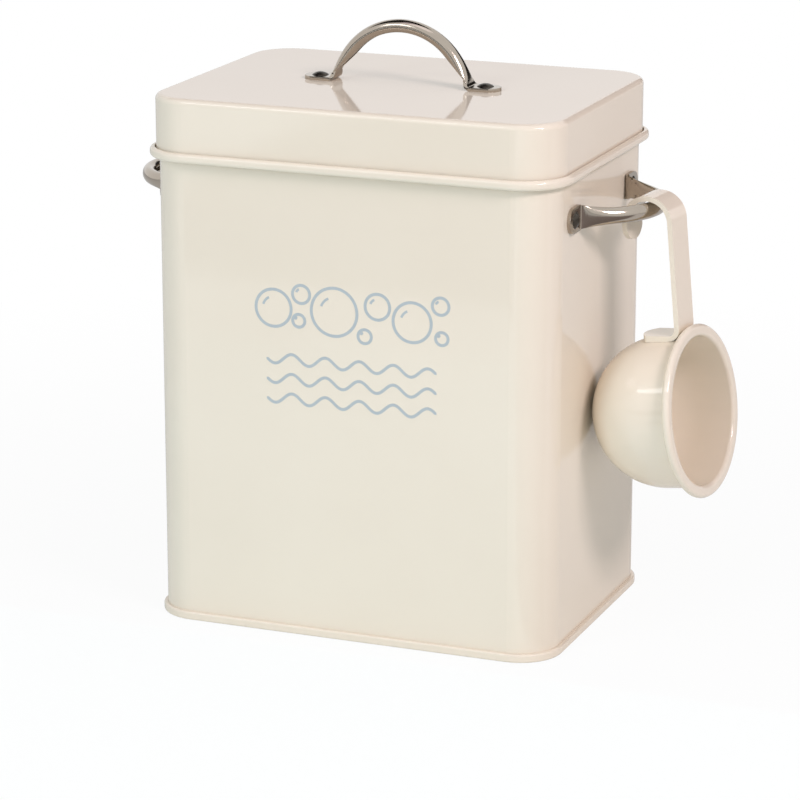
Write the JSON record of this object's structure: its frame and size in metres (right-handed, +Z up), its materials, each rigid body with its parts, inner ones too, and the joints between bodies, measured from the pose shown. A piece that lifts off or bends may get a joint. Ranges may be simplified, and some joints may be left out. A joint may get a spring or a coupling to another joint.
{
  "type": "metal laundry powder box",
  "caption": "Rectangular sheet-metal storage tin with a lift-off lid, riveted bow handles on its lid and sides, and a coated scoop that hangs from one handle.",
  "frame": {"origin": "middle of the base, on the surface that the box stands on", "axes": "+Z up, -Y toward the front face, +X toward the handle that carries the scoop"},
  "size_m": [0.2293, 0.1214, 0.2243],
  "materials": {
    "cream_coat": "satin-gloss cream powder coat on sheet steel",
    "nickel_plate": "polished nickel plate on pressed steel strip",
    "rivet_steel": "dark polished steel"
  },
  "bodies": {
    "box": {"body_shell": "cream_coat", "base_panel": "cream_coat", "left_handle": "nickel_plate", "left_handle_rivets": "rivet_steel", "right_handle": "nickel_plate", "right_handle_rivets": "rivet_steel"},
    "lid": {"lid_shell": "cream_coat", "lid_handle": "nickel_plate", "lid_handle_rivets": "rivet_steel"},
    "scoop": {"scoop_bowl": "cream_coat", "scoop_handle": "cream_coat"}
  },
  "joints": [
    {"name": "lid_lift", "type": "slide", "parent": "box", "child": "lid", "axis": [0, 0, 1], "range_m": [0, 0.12]},
    {"name": "scoop_swing", "type": "hinge", "parent": "box", "child": "scoop", "pos_m": [0.09976, -0.00214, 0.1572], "axis": [-0.1063, -0.9943, 0], "range_deg": [0, 60]}
  ]
}
